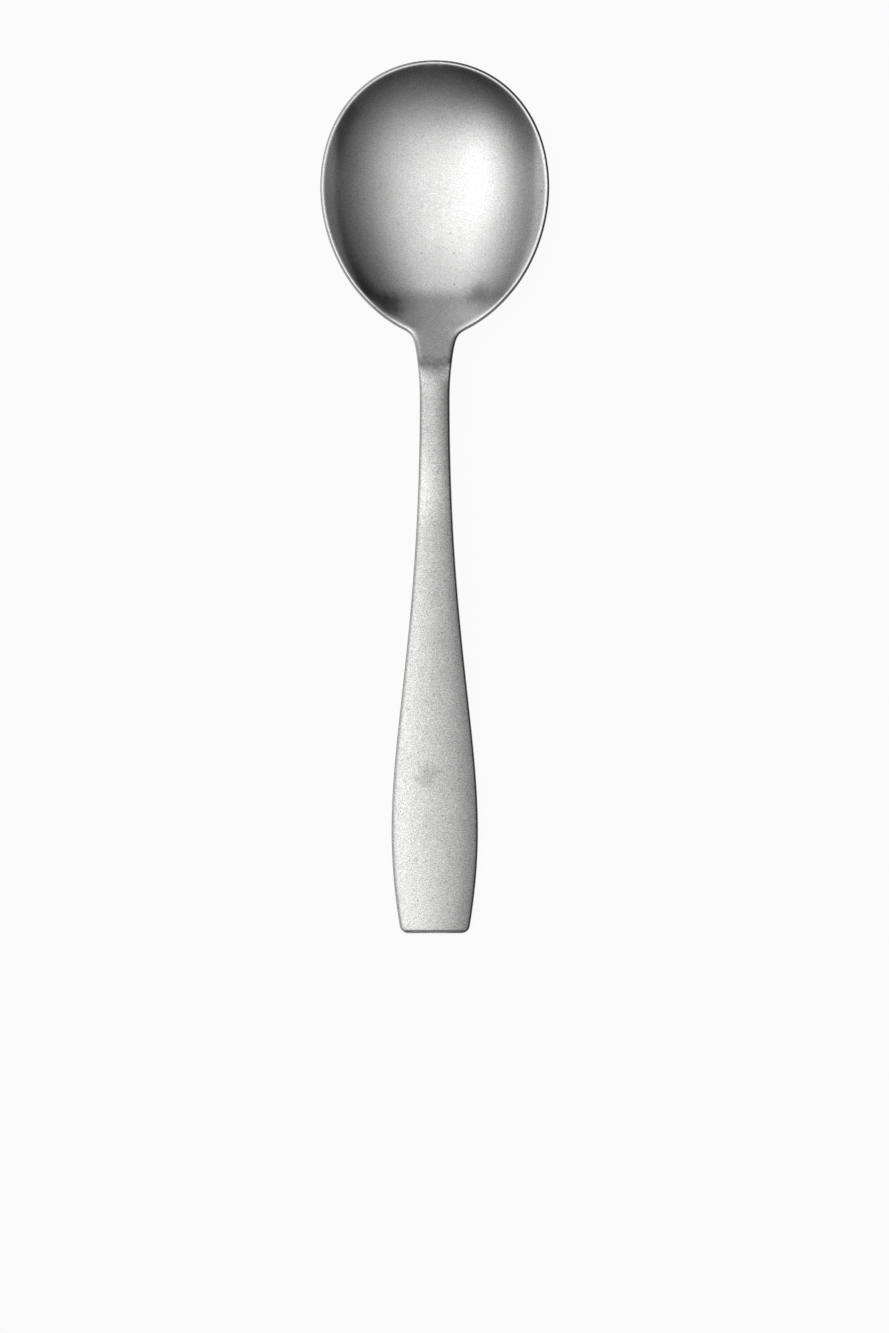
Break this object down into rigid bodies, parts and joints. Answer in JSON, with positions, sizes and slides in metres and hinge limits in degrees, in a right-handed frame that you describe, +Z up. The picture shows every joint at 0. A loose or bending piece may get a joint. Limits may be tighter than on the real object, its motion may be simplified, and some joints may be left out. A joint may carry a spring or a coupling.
{
  "type": "salad serving spoon",
  "caption": "Stainless salad serving spoon with a near-round bowl, a rising shank and a long arched handle that broadens to a straight end, for tossing and serving salad.",
  "frame": {"origin": "middle of the bounding box at its base, on the table the spoon lies on", "axes": "+Y from the handle end to the tip of the bowl, +Z up out of the bowl, +X across"},
  "size_m": [0.0604, 0.23, 0.0194],
  "materials": {
    "bowl_steel": "fine satin, lightly worn",
    "handle_steel": "tumbled matte"
  },
  "bodies": {
    "root": {"bowl": "bowl_steel", "handle": "handle_steel"}
  },
  "joints": []
}
